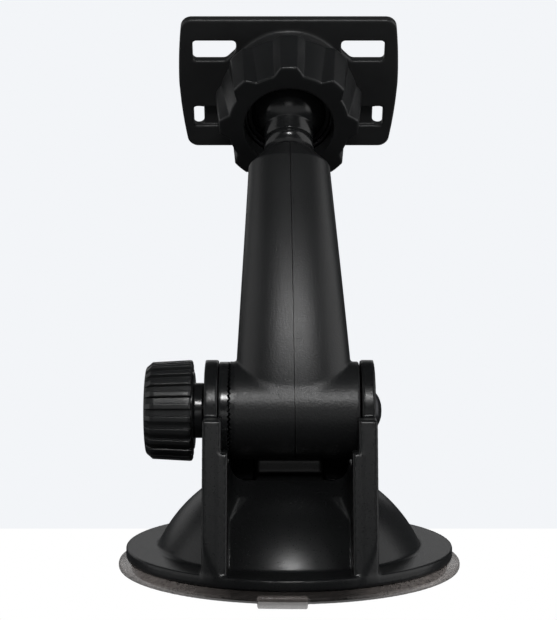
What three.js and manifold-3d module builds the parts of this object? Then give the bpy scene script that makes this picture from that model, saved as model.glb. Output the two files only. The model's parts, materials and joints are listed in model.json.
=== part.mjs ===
// A suction-cup dashboard mount for a small in-car device: a clear pad under a domed base, a tilting
// arm clamped between two ears by a ribbed knob, and a ball head that carries a four-claw plate.
// Millimetres, +Z up, origin at the centre of the pad's flat underside. -Y is the side of the pull tab.
import * as THREE from "three";
import { mergeVertices } from "three/addons/utils/BufferGeometryUtils.js";
import Module from "manifold-3d";

const wasm = await Module();
wasm.setup();

const DEG = Math.PI / 180;

// ---- Driving dimensions -------------------------------------------------------------------------
const PAD = { radius: 34, edge: 1.0, thickness: 1.9, pocket: 7.4, pocketFloor: 1.15 };
const FLANGE = { radius: 32.5, bottom: 1.95, top: 4.0 };
const DOME = { sphere: 28.9, centreZ: -8.1, wall: 2.3, ceiling: 9.6 };
const PIVOT = { y: -8, z: 31.8, bolt: 2.4, hole: 2.65 };
const EAR = { radius: 9.8, outer: 16.3, inner: 12.8, recess: 13.7, frontTop: -22.8, frontFoot: -29.6 };
const BARREL = { radius: 9.5, left: -11.05, right: 13.4, middle: 0.95, bore: 4.08 };
const RATCHET = { teeth: 60, inner: 6.4, height: 0.4, armTip: -11.5, washerTip: -11.57 };
const ARM = { startLean: 6 * DEG, endLean: 34 * DEG, handle: 18, wall: 2.4 };
const ARM_SECTION = { rootHalf: 11.8, topHalf: 8.2, narrowing: 1.15, rootDepth: 8.9, topDepth: 6.3 };
const ARM_TIP = { from: 0.935, half: 5.4, depth: 5.5 };
const BALL = { x: 0, y: 21.53, z: 92.62, radius: 8.5, shoulder: 13.5 };
const NECK = { radius: 5.1, step: 4.85, stepAt: 9.3, foot: 5.3 };
const SHANK = { radius: 3.5, end: 24.7, flange: 4.8, flangeFrom: 18.7, flangeTo: 20.7 };
const HEAD = { elevation: 35.5 * DEG, front: -9.0, back: 2.5, lobes: 8, frontRadius: 14.3, backRadius: 15.4 };
const GROOVE = { front: 1.8, back: 0.8 };
const LINER = { inner: 8.62, outer: 9.4, socket: 9.6 };
const PLATE = { rear: 8.8, front: 10.8, top: -15.0, bottom: 16.3, waist: 23.3, corner: 22.3 };
const LEVER = { pinZ: 16.8, lift: 2.4, swing: 55 * DEG, half: 12.2, cheek: 6.9, cheekOuter: 11.5, pin: 1.5 };
const HUB = { half: 6.8, front: -5, back: 6.2, top: 22.2, bore: 2.9 };
const LINING = { inner: 11.6, back: 5, top: 21.6, frontTop: 26, slope: [-20.6, -18.6] };
const KNOB = { ribs: 24, inner: -18.7, outer: -27.9, radius: 9.8, taper: 0.4, groove: 0.75, start: 3 };

// ---- Materials ----------------------------------------------------------------------------------
const material = (color, roughness, metalness = 0, more = {}) =>
  new THREE.MeshStandardMaterial({ color, roughness, metalness, ...more });
const MATTE = material(0x1b1c1d, 0.62);
const GLOSS = material(0x101112, 0.28);
const CLEAR = material(0xa9a29d, 0.25, 0, { transparent: true, opacity: 0.45 });
const STEEL = material(0x8d9093, 0.35, 0.9);
const DARK_STEEL = material(0x2a2b2c, 0.4, 0.8);
const BRASS = material(0xb08d4a, 0.35, 0.9);
const NATURAL = material(0xd9d6cc, 0.5);

// ---- Solid helpers ------------------------------------------------------------------------------
// A closed geometry as a manifold solid with its faces pointing out.
function solid(geometry) {
  const bare = geometry.index ? geometry.toNonIndexed() : geometry.clone();
  bare.deleteAttribute("normal");
  bare.deleteAttribute("uv");
  const merged = mergeVertices(bare, 1e-4);
  const vertProperties = new Float32Array(merged.attributes.position.array);
  const triVerts = new Uint32Array(merged.index.array);
  const made = new wasm.Manifold(new wasm.Mesh({ numProp: 3, vertProperties, triVerts }));
  if (made.volume() > 0) return made;
  for (let i = 0; i < triVerts.length; i += 3) {
    [triVerts[i + 1], triVerts[i + 2]] = [triVerts[i + 2], triVerts[i + 1]];
  }
  return new wasm.Manifold(new wasm.Mesh({ numProp: 3, vertProperties, triVerts }));
}

const join = (first, ...others) => others.reduce((all, one) => all.add(one), first);
const cut = (first, ...others) => others.reduce((all, one) => all.subtract(one), first);

// A manifold solid as a named mesh.
function part(name, shape, look) {
  const data = shape.getMesh();
  const points = new Float32Array(data.numVert * 3);
  for (let i = 0; i < data.numVert; i++) {
    points.set(data.vertProperties.subarray(i * data.numProp, i * data.numProp + 3), i * 3);
  }
  const geometry = new THREE.BufferGeometry();
  geometry.setAttribute("position", new THREE.BufferAttribute(points, 3));
  geometry.setIndex(new THREE.BufferAttribute(new Uint32Array(data.triVerts), 1));
  geometry.computeVertexNormals();
  const mesh = new THREE.Mesh(geometry, look);
  mesh.name = name;
  return mesh;
}

const moved = (geometry, x, y, z) => geometry.applyMatrix4(new THREE.Matrix4().makeTranslation(x, y, z));
const box = (x0, x1, y0, y1, z0, z1) =>
  moved(new THREE.BoxGeometry(x1 - x0, y1 - y0, z1 - z0), (x0 + x1) / 2, (y0 + y1) / 2, (z0 + z1) / 2);

// A turned piece about the Z axis from [radius, z] points that start and end on the axis.
function turned(profile, segments = 48) {
  const points = profile.map(([r, z]) => new THREE.Vector2(r, z));
  return new THREE.LatheGeometry(points, segments).rotateX(Math.PI / 2);
}

// A round bar along X.
function barX(radius, x0, x1, y, z, segments = 32) {
  const bar = new THREE.CylinderGeometry(radius, radius, x1 - x0, segments).rotateZ(Math.PI / 2);
  return moved(bar, (x0 + x1) / 2, y, z);
}

// A flat outline in the YZ plane, pushed along X from x0 to x1.
function slabX(outline, x0, x1) {
  const shape = new THREE.Shape(outline.map(([y, z]) => new THREE.Vector2(y, z)));
  const slab = new THREE.ExtrudeGeometry(shape, { depth: x1 - x0, bevelEnabled: false, curveSegments: 24 });
  const axes = new THREE.Matrix4().makeBasis(
    new THREE.Vector3(0, 1, 0),
    new THREE.Vector3(0, 0, 1),
    new THREE.Vector3(1, 0, 0),
  );
  return moved(slab.applyMatrix4(axes), x0, 0, 0);
}

// Points of an arc, from one angle to another in degrees.
function arc(y, z, radius, from, to, steps) {
  return Array.from({ length: steps + 1 }, (_, i) => {
    const a = (from + ((to - from) * i) / steps) * DEG;
    return [y + radius * Math.cos(a), z + radius * Math.sin(a)];
  });
}

// A closed skin through rings of points that all have the same count, with a flat cap at each end.
function loft(rings) {
  const count = rings[0].length;
  const positions = rings.flat(2);
  const index = [];
  for (let r = 0; r + 1 < rings.length; r++) {
    for (let i = 0; i < count; i++) {
      const [a, b] = [r * count + i, r * count + ((i + 1) % count)];
      index.push(a, b, b + count, a, b + count, a + count);
    }
  }
  const last = (rings.length - 1) * count;
  for (const [start, order] of [[0, [0, 2, 1]], [last, [0, 1, 2]]]) {
    const ring = rings[start / count];
    const centre = [0, 1, 2].map((k) => ring.reduce((sum, p) => sum + p[k], 0) / count);
    const hub = positions.length / 3;
    positions.push(...centre);
    for (let i = 0; i < count; i++) {
      const corners = [hub, start + i, start + ((i + 1) % count)];
      index.push(...order.map((k) => corners[k]));
    }
  }
  const geometry = new THREE.BufferGeometry();
  geometry.setAttribute("position", new THREE.Float32BufferAttribute(positions, 3));
  geometry.setIndex(index);
  return geometry;
}

// ---- Suction pad: a flat disc of clear soft plastic with a pull tab and a cup for the stem's foot ----
function suctionPad() {
  const disc = turned(
    [
      [0, 0],
      [PAD.radius - 0.3, 0],
      [PAD.radius, 0.3],
      [PAD.radius, PAD.edge],
      [FLANGE.radius - 0.5, PAD.thickness],
      [10, PAD.thickness],
      [9.4, 4.4],
      [PAD.pocket, 4.4],
      [PAD.pocket, PAD.pocketFloor],
      [0, PAD.pocketFloor],
    ],
    64,
  );
  const tab = box(-4.5, 4.5, -37.4, -30, 0, 1.3);
  const lip = box(-4.5, 4.5, -37.4, -35.9, 0.5, 2.2);
  const turn = (g) => solid(g.rotateZ(-2.2 * DEG));
  return part("suction_pad", join(solid(disc), turn(tab), turn(lip)), CLEAR);
}

// ---- Base shell: flange, dome, hub for the lock and the two ears, one moulding ----
const domeRadius = (z) => Math.sqrt(DOME.sphere ** 2 - (z - DOME.centreZ) ** 2);

function domeProfile() {
  const rise = Array.from({ length: 9 }, (_, i) => {
    const a = Math.asin((FLANGE.top + 0.6 - DOME.centreZ) / DOME.sphere);
    const t = a + ((Math.PI / 2 - a) * i) / 8;
    return [DOME.sphere * Math.cos(t), DOME.centreZ + DOME.sphere * Math.sin(t)];
  });
  rise[8][0] = 0;
  return [
    [0, FLANGE.bottom],
    [FLANGE.radius - 0.3, FLANGE.bottom],
    [FLANGE.radius, FLANGE.bottom + 0.3],
    [FLANGE.radius, FLANGE.top - 0.3],
    [FLANGE.radius - 0.3, FLANGE.top],
    [domeRadius(FLANGE.top) + 0.5, FLANGE.top],
    ...rise,
  ];
}

function cavity() {
  const inner = DOME.sphere - DOME.wall;
  const radiusAt = (z) => Math.sqrt(inner ** 2 - (z - DOME.centreZ) ** 2);
  const heights = [1, 3, 5, 7, DOME.ceiling];
  return turned([[0, 1], ...heights.map((z) => [radiusAt(z), z]), [0, DOME.ceiling]], 36);
}

// The side view of an ear: a round top, a ledge level with the pivot, a raked front and a curved back.
const EAR_OUTLINE = [
  [EAR.frontFoot, FLANGE.bottom + 0.4],
  [EAR.frontFoot, FLANGE.top],
  [EAR.frontTop, PIVOT.z],
  ...arc(PIVOT.y, PIVOT.z, EAR.radius, 180, 0, 20),
  [PIVOT.y + EAR.radius + 1.2, 27],
  [PIVOT.y + EAR.radius + 5.5, 20],
  [PIVOT.y + EAR.radius + 12, 15],
  [PIVOT.y + EAR.radius + 15, FLANGE.bottom + 0.4],
];

function baseShell() {
  const rim = turned([[0, 2], [FLANGE.radius, 2], [FLANGE.radius, 60], [0, 60]], 64);
  const ears = [-1, 1].map((side) => {
    const [x0, x1] = [side * EAR.inner, side * EAR.outer].sort((a, b) => a - b);
    const ear = solid(slabX(EAR_OUTLINE, x0, x1)).intersect(solid(rim));
    const [r0, r1] = [side * (EAR.inner - 1), side * EAR.recess].sort((a, b) => a - b);
    return cut(ear, solid(barX(EAR.radius + 0.4, r0, r1, PIVOT.y, PIVOT.z)));
  });
  const saddle = barX(13.3, -EAR.inner, EAR.inner, PIVOT.y, PIVOT.z, 48);
  const pockets = [-1, 1].map((side) => {
    const [x0, x1] = [side * 6.55, side * 12].sort((a, b) => a - b);
    return solid(box(x0, x1, -8, 23, 11.7, 30));
  });
  // Below and in front of the barrel the ears are thicker on their inner sides, up to the lever's cheeks.
  const low = [
    [-40, FLANGE.bottom + 0.4],
    [LINING.back, FLANGE.bottom + 0.4],
    [LINING.back, LINING.top],
    [LINING.slope[1], LINING.top],
    [LINING.slope[0], LINING.frontTop],
    [-40, LINING.frontTop],
  ];
  const linings = [-1, 1].map((side) => {
    const [x0, x1] = [side * LINING.inner, side * (EAR.inner + 0.1)].sort((a, b) => a - b);
    return solid(slabX(EAR_OUTLINE, x0, x1)).intersect(solid(rim)).intersect(solid(slabX(low, x0, x1)));
  });
  const hub = cut(
    solid(box(-HUB.half, HUB.half, HUB.front, HUB.back, 11, HUB.top)),
    solid(barX(BARREL.radius + 0.6, -8, 8, PIVOT.y, PIVOT.z, 48)),
  );
  const bore = new THREE.CylinderGeometry(HUB.bore, HUB.bore, 20, 24).rotateX(Math.PI / 2);
  const dome = cut(solid(turned(domeProfile(), 64)), solid(saddle), ...pockets);
  const keys = [-6.6, 6.6].map((dy) =>
    solid(box(-15.1, -13.4, PIVOT.y + dy - 1.3, PIVOT.y + dy + 1.3, PIVOT.z - 1.3, PIVOT.z + 1.3)),
  );
  const shell = cut(
    join(dome, hub, ...linings, ...ears),
    solid(cavity()),
    solid(moved(bore, 0, 0, 17)),
    solid(box(-7, 7, -1.7, 1.7, LEVER.pinZ - 1.8, LEVER.pinZ + LEVER.lift + 1.8)),
    solid(barX(PIVOT.hole, -18, 18, PIVOT.y, PIVOT.z)),
    ...keys,
  );
  return part("base_shell", shell, MATTE);
}

// ---- Lock: stem with its foot, spring, pin and cam lever ----
function pullStem() {
  const stem = turned([[0, 1.3], [7, 1.3], [7, 2.9], [2.5, 2.9], [2.5, 19.3], [0, 19.3]], 32);
  const eye = barX(LEVER.pin + 0.1, -4, 4, 0, LEVER.pinZ, 24);
  return part("pull_stem", cut(solid(stem), solid(eye)), NATURAL);
}

// A coil spring: a helix about Z, open at both ends.
function coil(radius, wire, z0, z1, turns) {
  const steps = turns * 12;
  const points = Array.from({ length: steps + 1 }, (_, i) => {
    const a = (i / 12) * 2 * Math.PI;
    return new THREE.Vector3(radius * Math.cos(a), radius * Math.sin(a), z0 + ((z1 - z0) * i) / steps);
  });
  const section = new THREE.Shape(arc(0, 0, wire, 0, 315, 7).map(([x, y]) => new THREE.Vector2(x, y)));
  const path = new THREE.CatmullRomCurve3(points);
  return new THREE.ExtrudeGeometry(section, { steps, extrudePath: path, bevelEnabled: false });
}

function leverPin() {
  return part("lever_pin", solid(barX(LEVER.pin, -11.2, 11.2, 0, LEVER.pinZ, 24)), STEEL);
}

// The lever is drawn locked, about its pin at the origin, and is stored swung up to its released place.
function lockLever() {
  const domeZ = DOME.centreZ - (LEVER.pinZ + LEVER.lift);
  const onDome = (radius, degrees) => [
    radius * Math.sin(degrees * DEG),
    domeZ + radius * Math.cos(degrees * DEG),
  ];
  const [inside, outside] = [DOME.sphere + 0.8, DOME.sphere + 3.4];
  const angles = Array.from({ length: 9 }, (_, i) => 18 + (42 * i) / 8);
  const handle = slabX(
    [...angles.map((a) => onDome(inside, a)), ...angles.reverse().map((a) => onDome(outside, a))],
    -LEVER.half,
    LEVER.half,
  );
  const [tipY, tipZ] = onDome(outside - 0.9, 60);
  const tip = barX(1.9, -LEVER.half, LEVER.half, tipY, tipZ, 20);
  // The cam's radius grows evenly with the swing, so the stem rises evenly.
  const cam = Array.from({ length: 24 }, (_, i) => {
    const angle = -90 - i * 15;
    const share = Math.min(1, Math.max(0, (-90 - angle) / (LEVER.swing / DEG)));
    const closing = Math.min(1, Math.max(0, (-300 - angle) / 45));
    const radius = 4 + LEVER.lift * Math.max(1 - share, closing);
    return [radius * Math.cos(angle * DEG), radius * Math.sin(angle * DEG)];
  }).reverse();
  const arm = [[0, -3.4], onDome(inside, 22), onDome(outside, 22), onDome(outside, 17), [0, 3.8]];
  const cheeks = [-1, 1].flatMap((side) => {
    const [x0, x1] = [side * LEVER.cheek, side * LEVER.cheekOuter].sort((a, b) => a - b);
    return [solid(slabX(cam, x0, x1)), solid(slabX(arm, x0, x1))];
  });
  const hole = solid(barX(LEVER.pin + 0.15, -13, 13, 0, 0, 24));
  const lever = part("lock_lever", cut(join(solid(handle), solid(tip), ...cheeks), hole), MATTE);
  lever.position.z = LEVER.pinZ;
  lever.rotation.x = LEVER.swing;
  return lever;
}

// ---- Pivot: bolt, ratchet washer, release spring, bush and clamp knob, all along X ----
// A ring of radial V teeth about X that face +X (side 1) or -X (side -1), with its back at x.
function toothedRing(inner, outer, backX, tipX) {
  const side = Math.sign(tipX - backX);
  const height = RATCHET.height * side;
  const count = RATCHET.teeth * 2;
  const point = (i, r, x) => {
    const a = ((i + (side > 0 ? 1 : 0)) / count) * 2 * Math.PI;
    return [x, PIVOT.y + r * Math.cos(a), PIVOT.z + r * Math.sin(a)];
  };
  const positions = [];
  for (let i = 0; i < count; i++) {
    const face = i % 2 ? tipX - height : tipX;
    positions.push(point(i, inner, backX), point(i, outer, backX));
    positions.push(point(i, outer, face), point(i, inner, face));
  }
  const index = [];
  for (let i = 0; i < count; i++) {
    for (let k = 0; k < 4; k++) {
      const [a, b] = [i * 4 + k, i * 4 + ((k + 1) % 4)];
      const [c, d] = [((i + 1) % count) * 4 + k, ((i + 1) % count) * 4 + ((k + 1) % 4)];
      index.push(a, b, d, a, d, c);
    }
  }
  const ring = new THREE.BufferGeometry();
  ring.setAttribute("position", new THREE.Float32BufferAttribute(positions.flat(), 3));
  return ring.setIndex(index);
}

function ratchetWasher() {
  const disc = barX(BARREL.radius - 0.05, -13.55, -12.3, PIVOT.y, PIVOT.z, 48);
  const teeth = toothedRing(RATCHET.inner, BARREL.radius - 0.05, -12.9, RATCHET.washerTip);
  const lugs = [-6.6, 6.6].map((dy) =>
    solid(box(-14.8, -13, PIVOT.y + dy - 1, PIVOT.y + dy + 1, PIVOT.z - 1, PIVOT.z + 1)),
  );
  const hole = solid(barX(PIVOT.hole, -16, -10, PIVOT.y, PIVOT.z));
  return part("ratchet_washer", cut(join(solid(disc), solid(teeth), ...lugs), hole), GLOSS);
}

function pivotBolt() {
  const dome = [[0, 17.9], [1.3, 17.8], [2.5, 17.4], [3.3, 16.9], [3.6, 16.4], [3.6, 16.35]];
  const shank = [[PIVOT.bolt, 16.35], [PIVOT.bolt, -23.6], [PIVOT.bolt - 0.5, -24.1], [0, -24.1]];
  const bolt = turned([...dome, ...shank], 32).rotateY(Math.PI / 2);
  return part("pivot_bolt", solid(moved(bolt, 0, PIVOT.y, PIVOT.z)), DARK_STEEL);
}

function pivotBush() {
  const tube = cut(
    solid(barX(4.0, -5.6, 13.2, PIVOT.y, PIVOT.z)),
    solid(barX(PIVOT.hole, -7, 15, PIVOT.y, PIVOT.z)),
  );
  return part("pivot_bush", tube, NATURAL);
}

function releaseSpring() {
  const spring = coil(3.4, 0.4, 0, 4.6, 3).rotateY(Math.PI / 2);
  return part("ratchet_spring", solid(moved(spring, -11.0, PIVOT.y, PIVOT.z)), STEEL);
}

// One rib and one groove of the knob take four points of its outline.
function knobRing(radius, depth, x) {
  const pitch = 360 / KNOB.ribs;
  const marks = [-0.21, 0.21, 0.27, 0.73].map((share, k) => [share * pitch, k < 2 ? radius : radius - depth]);
  return Array.from({ length: KNOB.ribs }, (_, i) =>
    marks.map(([offset, r]) => {
      const a = (KNOB.start + i * pitch + offset) * DEG;
      return [x, PIVOT.y + r * Math.cos(a), PIVOT.z + r * Math.sin(a)];
    }),
  ).flat();
}

function clampKnob() {
  const outerRadius = KNOB.radius - KNOB.taper;
  const body = loft([
    knobRing(outerRadius - 1.2, 0, KNOB.outer),
    knobRing(outerRadius - 0.95, 0.08, KNOB.outer + 0.25),
    knobRing(outerRadius, KNOB.groove, KNOB.outer + 1.35),
    knobRing(KNOB.radius, KNOB.groove, KNOB.inner),
  ]);
  const hex = new THREE.CylinderGeometry(4.75, 4.75, 4.4, 6).rotateZ(Math.PI / 2);
  const knob = cut(
    join(
      solid(body),
      solid(barX(7.5, -20, -18.4, PIVOT.y, PIVOT.z, 40)),
      solid(barX(5.35, -20, -16.65, PIVOT.y, PIVOT.z, 40)),
    ),
    solid(barX(PIVOT.hole, -25.5, -16, PIVOT.y, PIVOT.z)),
    solid(moved(hex, -18.6, PIVOT.y, PIVOT.z)),
  );
  return part("clamp_knob", knob, GLOSS);
}

function knobNut() {
  const hex = new THREE.CylinderGeometry(4.6, 4.6, 3.6, 6).rotateZ(Math.PI / 2);
  const nut = cut(
    solid(moved(hex, -18.8, PIVOT.y, PIVOT.z)),
    solid(barX(PIVOT.bolt + 0.12, -22, -16, PIVOT.y, PIVOT.z)),
  );
  return part("knob_nut", nut, BRASS);
}

// ---- Arm: two half shells joined on the middle plane, with the barrel at the foot ----
const armEnd = { y: Math.sin(ARM.endLean), z: Math.cos(ARM.endLean) };
const shoulder = { y: BALL.y - BALL.shoulder * armEnd.y, z: BALL.z - BALL.shoulder * armEnd.z };
const armCurve = new THREE.CubicBezierCurve(
  new THREE.Vector2(PIVOT.y, PIVOT.z),
  new THREE.Vector2(
    PIVOT.y + ARM.handle * Math.sin(ARM.startLean),
    PIVOT.z + ARM.handle * Math.cos(ARM.startLean),
  ),
  new THREE.Vector2(shoulder.y - ARM.handle * armEnd.y, shoulder.z - ARM.handle * armEnd.z),
  new THREE.Vector2(shoulder.y, shoulder.z),
);

// The arm's cross-section at t: wide and flattish at the foot, round at the shoulder.
function armRing(t, inset, points = 32) {
  const centre = armCurve.getPoint(t);
  const along = armCurve.getTangent(t);
  const { rootHalf, topHalf, narrowing, rootDepth, topDepth } = ARM_SECTION;
  const narrow = Math.max(0, (t - ARM_TIP.from) / (1 - ARM_TIP.from));
  const fullHalf = topHalf + (rootHalf - topHalf) * (1 - t) ** narrowing;
  const half = THREE.MathUtils.lerp(fullHalf, ARM_TIP.half, narrow) - inset;
  const depth = THREE.MathUtils.lerp(rootDepth + (topDepth - rootDepth) * t, ARM_TIP.depth, narrow) - inset;
  const power = 2 / (2.7 - 0.2 * t - 0.5 * narrow);
  return Array.from({ length: points }, (_, i) => {
    const a = (i / points) * 2 * Math.PI;
    const [c, s] = [Math.cos(a), Math.sin(a)];
    const across = half * Math.sign(c) * Math.abs(c) ** power;
    const out = depth * Math.sign(s) * Math.abs(s) ** power;
    return [BARREL.middle * (1 - t) + across, centre.x - out * along.y, centre.y + out * along.x];
  });
}

function armBody() {
  const spread = (from, to, steps) => Array.from({ length: steps + 1 }, (_, i) => from + ((to - from) * i) / steps);
  const rings = [...spread(0, ARM_TIP.from, 12), 1].map((t) => armRing(t, 0));
  const hollow = loft(spread(0.3, 0.72, 5).map((t) => armRing(t, ARM.wall, 16)));
  const barrel = barX(BARREL.radius, BARREL.left, BARREL.right, PIVOT.y, PIVOT.z, 48);
  const teeth = toothedRing(RATCHET.inner, BARREL.radius, BARREL.left + 1, RATCHET.armTip);
  const springSeat = barX(4.5, -12, -5.9, PIVOT.y, PIVOT.z);
  const seat = alongStud([
    [0, BALL.shoulder - 1.5],
    [SHANK.radius + 0.2, BALL.shoulder - 1.5],
    [SHANK.radius + 0.2, SHANK.flangeFrom - 0.3],
    [SHANK.flange + 0.3, SHANK.flangeFrom - 0.3],
    [SHANK.flange + 0.3, SHANK.flangeTo + 0.3],
    [SHANK.radius + 0.2, SHANK.flangeTo + 0.3],
    [SHANK.radius + 0.2, SHANK.end + 0.3],
    [0, SHANK.end + 0.3],
  ]);
  return cut(
    join(solid(loft(rings)), solid(barrel), solid(teeth)),
    solid(barX(BARREL.bore, -13, 15, PIVOT.y, PIVOT.z)),
    solid(springSeat),
    solid(hollow),
    solid(seat),
  );
}

// A turned piece on the stud's own axis, which runs from the ball's centre down into the arm.
function alongStud(profile, segments = 28) {
  const piece = turned(profile, segments).rotateX(Math.PI - ARM.endLean);
  return moved(piece, BALL.x, BALL.y, BALL.z);
}

function armShells() {
  const body = armBody();
  const lean = Math.atan2(BARREL.middle, Math.hypot(BALL.y - PIVOT.y, BALL.z - PIVOT.z));
  const chord = Math.atan2(BALL.y - PIVOT.y, BALL.z - PIVOT.z);
  return [-1, 1].map((side) => {
    const block = new THREE.BoxGeometry(40, 80, 200);
    moved(block, side * (20 + 0.05), 0, 0);
    block.rotateY(-lean).rotateX(-chord);
    const half = body.intersect(solid(moved(block, BARREL.middle, PIVOT.y, PIVOT.z)));
    return part(side < 0 ? "arm_shell_left" : "arm_shell_right", half, MATTE);
  });
}

function ballStud() {
  const from = Math.asin(NECK.radius / BALL.radius);
  const ball = Array.from({ length: 11 }, (_, i) => {
    const a = Math.PI + ((from - Math.PI) * i) / 10;
    return [i ? BALL.radius * Math.sin(a) : 0, BALL.radius * Math.cos(a)];
  });
  const rest = [
    [NECK.radius, NECK.stepAt - 0.1],
    [NECK.step, NECK.stepAt],
    [NECK.foot, BALL.shoulder - 0.8],
    [SHANK.radius, BALL.shoulder - 0.8],
    [SHANK.radius, SHANK.flangeFrom],
    [SHANK.flange, SHANK.flangeFrom],
    [SHANK.flange, SHANK.flangeTo],
    [SHANK.radius, SHANK.flangeTo],
    [SHANK.radius, SHANK.end],
    [0, SHANK.end],
  ];
  return part("ball_stud", solid(alongStud([...ball, ...rest], 28)), GLOSS);
}

// ---- Head, drawn about the ball's centre with +Z towards the claw plate and -Y upwards ----
// Part of a spherical shell between two heights.
function shellZone(z0, z1, steps) {
  const heights = Array.from({ length: steps + 1 }, (_, i) => z0 + ((z1 - z0) * i) / steps);
  const at = (radius, z) => [Math.sqrt(Math.max(0, radius ** 2 - z ** 2)), z];
  const outer = heights.map((z) => at(LINER.outer, z));
  const inner = heights.map((z) => at(LINER.inner, z)).reverse();
  return [...outer, ...inner];
}

function seatRing() {
  const profile = shellZone(-4.0, -2.2, 3);
  return part("ball_seat_ring", solid(turned([...profile, profile[0]], 28)), NATURAL);
}

function cupPad() {
  const angles = Array.from({ length: 7 }, (_, i) => (82 * DEG * i) / 6);
  const bowl = (radius) => angles.map((a) => [radius * Math.sin(a), radius * Math.cos(a)]);
  const profile = [...bowl(LINER.inner), ...bowl(LINER.outer).reverse()];
  return part("ball_cup_pad", solid(turned(profile, 28)), NATURAL);
}

// The collar's outline is eight narrow lobes with wide grooves between them.
function collarRing(radius, depth, z) {
  const marks = [[-6.5, 0], [0, 0], [6.5, 0], [12.8, 1], [17.5, 1], [22.5, 1], [27.5, 1], [32.2, 1]];
  return Array.from({ length: HEAD.lobes }, (_, lobe) =>
    marks.map(([degrees, deep]) => {
      const a = (lobe * (360 / HEAD.lobes) + degrees - 90) * DEG;
      const r = radius - deep * depth;
      return [r * Math.cos(a), r * Math.sin(a), z];
    }),
  ).flat();
}

function collarNut() {
  const outside = loft([
    collarRing(HEAD.frontRadius - 0.3, GROOVE.front - 0.1, HEAD.front),
    collarRing(HEAD.frontRadius, GROOVE.front, HEAD.front + 0.3),
    collarRing(HEAD.backRadius, GROOVE.back, HEAD.back - 0.5),
    collarRing(HEAD.backRadius - 0.4, GROOVE.back - 0.2, HEAD.back),
  ]);
  const bore = turned(
    [[0, -10], [9.3, -10], [9.2, HEAD.front], [9.2, -5.4], [11.1, -2.9], [11.1, 7], [0, 7]],
    40,
  );
  return part("collar_nut", cut(solid(outside), solid(bore)), MATTE);
}

// The plate's outline has bowed sides and rounded corners. Up is -Y.
function plateOutline() {
  const { top, bottom, corner, waist } = PLATE;
  const r = 2.2;
  const shape = new THREE.Shape();
  shape.moveTo(-corner + r, top);
  shape.lineTo(corner - r, top);
  shape.quadraticCurveTo(corner, top, corner + 0.2, top + r);
  shape.quadraticCurveTo(waist + 0.8, 0, corner - 0.6, bottom - r);
  shape.quadraticCurveTo(corner - 0.9, bottom, corner - r - 0.9, bottom);
  shape.lineTo(-corner + r + 0.9, bottom);
  shape.quadraticCurveTo(-corner + 0.9, bottom, -corner + 0.6, bottom - r);
  shape.quadraticCurveTo(-waist - 0.8, 0, -corner - 0.2, top + r);
  shape.quadraticCurveTo(-corner, top, -corner + r, top);
  return shape;
}

// A window through the plate on one side: rounded outer corners, clipped upper and lower inner ones.
function plateWindow(side, near, far, y0, y1, upper, lower) {
  const round = 0.9;
  const shape = new THREE.Shape();
  shape.moveTo(side * (near + upper), y0);
  shape.lineTo(side * (far - round), y0);
  shape.quadraticCurveTo(side * far, y0, side * far, y0 + round);
  shape.lineTo(side * far, y1 - round);
  shape.quadraticCurveTo(side * far, y1, side * (far - round), y1);
  shape.lineTo(side * (near + lower), y1);
  shape.lineTo(side * near, y1 - lower);
  shape.lineTo(side * near, y0 + upper);
  const window = new THREE.ExtrudeGeometry(shape, { depth: 6, bevelEnabled: false, curveSegments: 4 });
  return solid(moved(window, 0, 0, 7));
}

function clawPlate() {
  const depth = PLATE.front - PLATE.rear;
  const plate = new THREE.ExtrudeGeometry(plateOutline(), { depth, bevelEnabled: false, curveSegments: 8 });
  const socket = turned(
    [
      [0, PLATE.rear + 0.5],
      [12.3, PLATE.rear + 0.5],
      [12.3, 3.6],
      [10.8, 3.2],
      [10.8, -2.4],
      [9.25, -4.6],
      [8.3, -4.6],
      [8.3, 5],
      [0, 5],
    ],
    36,
  );
  const ball = Array.from({ length: 11 }, (_, i) => {
    const a = ((i * 116) / 10) * DEG;
    return [i ? LINER.socket * Math.sin(a) : 0, LINER.socket * Math.cos(a)];
  });
  const seat = turned([...ball, [8.6, -6], [0, -6]], 30);
  const slots = [0, 60, 120].map((degrees) => solid(box(-13, 13, -0.6, 0.6, -6, 1.5).rotateZ(degrees * DEG)));
  const claws = [-1, 1].flatMap((side) => {
    const [x0, x1] = [side * 14.8, side * 20.5].sort((a, b) => a - b);
    return [
      plateWindow(side, 11.1, 20.3, -10.0, -5.2, 0.8, 2.2),
      plateWindow(side, 18.3, 20.5, 6.2, 11, 0.6, 0.6),
      solid(box(x0, x1, 6.2, 11, 7, PLATE.rear + 1)),
    ];
  });
  const body = join(solid(moved(plate, 0, 0, PLATE.rear)), solid(socket));
  return part("claw_plate", cut(body, solid(seat), ...slots, ...claws), MATTE);
}

// ---- Assembly -----------------------------------------------------------------------------------
const mount = new THREE.Group();

const base = new THREE.Group();
base.add(suctionPad(), baseShell(), ratchetWasher(), pivotBolt(), pivotBush(), releaseSpring());

const lock = new THREE.Group();
const stemSpring = part("stem_spring", solid(coil(3.9, 0.45, 3.5, 9.0, 4)), STEEL);
lock.add(pullStem(), leverPin(), lockLever(), stemSpring);

const arm = new THREE.Group();
arm.add(...armShells(), ballStud());

const knob = new THREE.Group();
knob.add(clampKnob(), knobNut());

const head = new THREE.Group();
head.position.set(BALL.x, BALL.y, BALL.z);
head.rotation.x = HEAD.elevation - Math.PI / 2;
head.add(seatRing(), cupPad(), collarNut(), clawPlate());

mount.add(base, lock, arm, knob, head);

export default mount;
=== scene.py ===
"""Looks for the suction dashboard mount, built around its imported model.

Shapes are worked out in millimetres in the model's frame (X right, Y away, Z up) and made in metres.
Most shells are fields: functions that are negative inside the solid, with rounded edges and fillets,
skinned as a fine mesh. Turned and toothed pieces are made ring by ring.
"""

import json
import math

import bmesh
import bpy
import numpy as np
from mathutils import Matrix, Vector


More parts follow.
